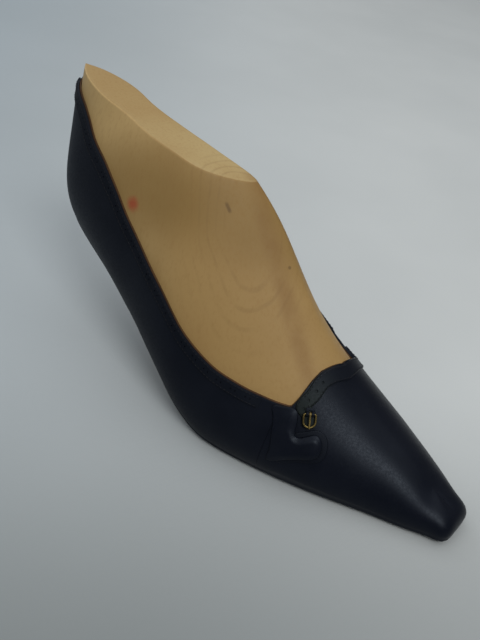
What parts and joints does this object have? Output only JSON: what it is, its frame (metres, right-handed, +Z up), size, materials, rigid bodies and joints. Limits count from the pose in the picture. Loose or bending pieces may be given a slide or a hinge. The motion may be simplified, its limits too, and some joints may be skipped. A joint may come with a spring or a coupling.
{
  "type": "shoe last",
  "caption": "Solid wooden shoemaker's last with a pointed leather court-shoe upper lasted on it, with a buckled throat strap; no heel or outsole yet.",
  "frame": {"origin": "on the plane that the forepart stands on, under the middle of the bounding box", "axes": "+X from the heel to the toe, +Z up, the outer side of this right shoe faces -Y"},
  "size_m": [0.2662, 0.0834, 0.1417],
  "materials": {
    "maple": "waxed",
    "navy_leather": "semi-matt",
    "trim_leather": "smooth",
    "lining_leather": "natural",
    "board": "matt fibre board",
    "steel": "plain",
    "gilt": "polished"
  },
  "bodies": {
    "last": {"last_body": "maple", "vamp": "navy_leather", "quarter_lateral": "navy_leather", "quarter_medial": "navy_leather", "side_tab": "navy_leather", "collar_lateral": "trim_leather", "collar_medial": "trim_leather", "throat_strap": "trim_leather", "tab_underlay": "trim_leather", "buckle_keeper": "trim_leather", "vamp_lining": "lining_leather", "quarter_lining": "lining_leather", "insole": "board", "heel_counter": "board", "toe_puff": "board", "heel_plate": "steel", "plate_screw_back": "steel", "plate_screw_front": "steel", "shank_spring": "steel", "shank_rivet_back": "steel", "shank_rivet_front": "steel", "seat_tack_1": "steel", "seat_tack_2": "steel", "seat_tack_3": "steel", "seat_tack_4": "steel", "seat_tack_5": "steel", "seat_tack_6": "steel", "seat_tack_7": "steel", "seat_tack_8": "steel", "seat_tack_9": "steel", "buckle_frame": "gilt"},
    "prong": {"buckle_prong": "gilt"}
  },
  "joints": [
    {"name": "prong_lift", "type": "hinge", "parent": "last", "child": "prong", "pos_m": [0.05355, -0.01739, 0.04009], "axis": [-0.7982, -0.5991, -0.0632], "range_deg": [0, 70]}
  ]
}
